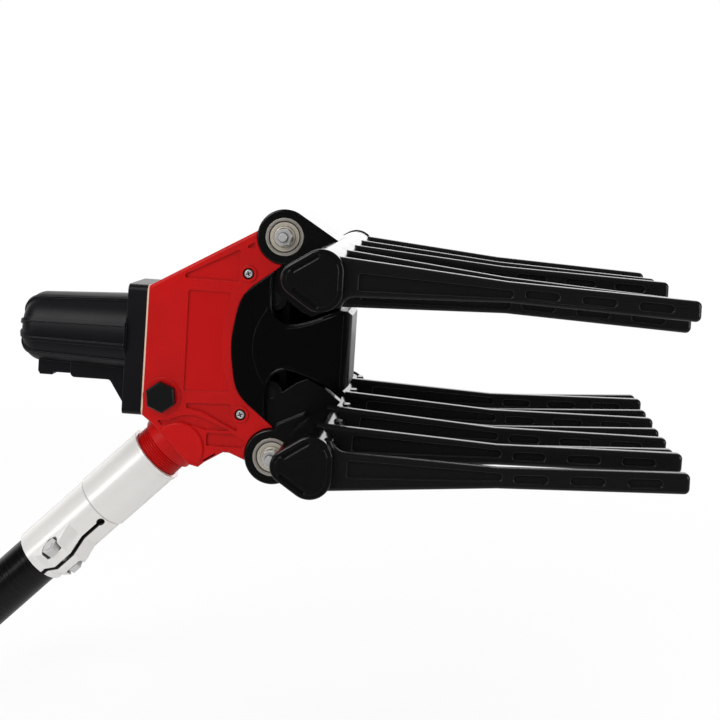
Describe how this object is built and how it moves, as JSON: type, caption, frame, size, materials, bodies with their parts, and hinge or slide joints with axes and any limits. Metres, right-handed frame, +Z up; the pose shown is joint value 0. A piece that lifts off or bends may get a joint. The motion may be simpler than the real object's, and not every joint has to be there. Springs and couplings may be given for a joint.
{
  "type": "olive harvester head",
  "caption": "Pneumatic olive harvester head: a red housing with an air cylinder swings opposed combs of long black tines on ball bearings, with a clamp for a pole.",
  "frame": {"origin": "centre of the free lower end of the pole stub", "axes": "+X from the rear cap towards the tine tips, +Z up, +Y to the far side; the pole rises at 45 degrees from the origin in the XZ plane"},
  "size_m": [0.4529, 0.2326, 0.2942],
  "materials": {
    "red_shell": "satin moulded red",
    "black_gloss": "glossy moulded black",
    "black_satin": "satin moulded black",
    "tine_black": "semi-gloss moulded black",
    "bright_aluminium": "turned and anodised",
    "pole_black": "black lacquered tube",
    "zinc_steel": "zinc plated",
    "bearing_steel": "ground",
    "dark_steel": "blackened",
    "rod_chrome": "hard chromed",
    "bush_brass": "turned",
    "seal_rubber": "matt",
    "gasket_fibre": "matt ivory fibre",
    "inner_aluminium": "turned"
  },
  "bodies": {
    "head": {"main_body": "red_shell", "cylinder_liner": "inner_aluminium", "rod_bush": "bush_brass", "rod_seal": "seal_rubber", "rear_cap": "black_satin", "cap_gasket": "gasket_fibre", "cap_screws": "zinc_steel", "front_cover": "black_gloss", "cover_screws": "zinc_steel", "hex_plug": "dark_steel", "valve_sleeve": "bush_brass", "pivot_bolts": "zinc_steel", "pivot_nuts": "zinc_steel", "pivot_collars": "zinc_steel", "bearing_inner_rings": "bearing_steel", "pole_clamp": "bright_aluminium", "clamp_bolt": "zinc_steel", "clamp_nut": "zinc_steel", "spigot_seal": "seal_rubber", "pole": "pole_black"},
    "piston": {"piston": "inner_aluminium", "piston_seals": "seal_rubber", "piston_rod": "rod_chrome", "piston_nut": "zinc_steel", "crosshead": "dark_steel"},
    "spool": {"valve_spool": "inner_aluminium"},
    "upper_comb": {"upper_arm": "black_gloss", "upper_bar": "black_gloss", "upper_end_caps": "black_gloss", "upper_bar_screws": "zinc_steel", "upper_drive_pin": "dark_steel", "upper_outer_rings": "bearing_steel", "upper_shields": "bearing_steel", "upper_balls": "bearing_steel", "upper_tine_1": "tine_black", "upper_tine_2": "tine_black", "upper_tine_3": "tine_black", "upper_tine_4": "tine_black", "upper_tine_5": "tine_black", "upper_tine_6": "tine_black", "upper_tine_7": "tine_black", "upper_tine_8": "tine_black", "upper_tine_9": "tine_black"},
    "lower_comb": {"lower_arm": "black_gloss", "lower_bar": "black_gloss", "lower_end_caps": "black_gloss", "lower_bar_screws": "zinc_steel", "lower_drive_pin": "dark_steel", "lower_outer_rings": "bearing_steel", "lower_shields": "bearing_steel", "lower_balls": "bearing_steel", "lower_tine_1": "tine_black", "lower_tine_2": "tine_black", "lower_tine_3": "tine_black", "lower_tine_4": "tine_black", "lower_tine_5": "tine_black", "lower_tine_6": "tine_black", "lower_tine_7": "tine_black", "lower_tine_8": "tine_black", "lower_tine_9": "tine_black"}
  },
  "joints": [
    {"name": "upper_comb_swing", "type": "hinge", "parent": "head", "child": "upper_comb", "pos_m": [0.19502, 0, 0.26502], "axis": [0, -1, 0], "range_deg": [-4, 26]},
    {"name": "lower_comb_swing", "type": "hinge", "parent": "head", "child": "lower_comb", "pos_m": [0.19502, 0, 0.12502], "axis": [0, 1, 0], "range_deg": [-4, 26]},
    {"name": "piston_slide", "type": "slide", "parent": "head", "child": "piston", "axis": [1, 0, 0], "range_m": [-0.003, 0.0182]},
    {"name": "spool_shift", "type": "slide", "parent": "head", "child": "spool", "axis": [0, 1, 0], "range_m": [-0.0035, 0.0035]}
  ],
  "couplings": [
    {"joint": "lower_comb_swing", "follows": "upper_comb_swing", "ratio": 1},
    {"joint": "piston_slide", "follows": "upper_comb_swing", "m_per_rad": 0.0395}
  ]
}
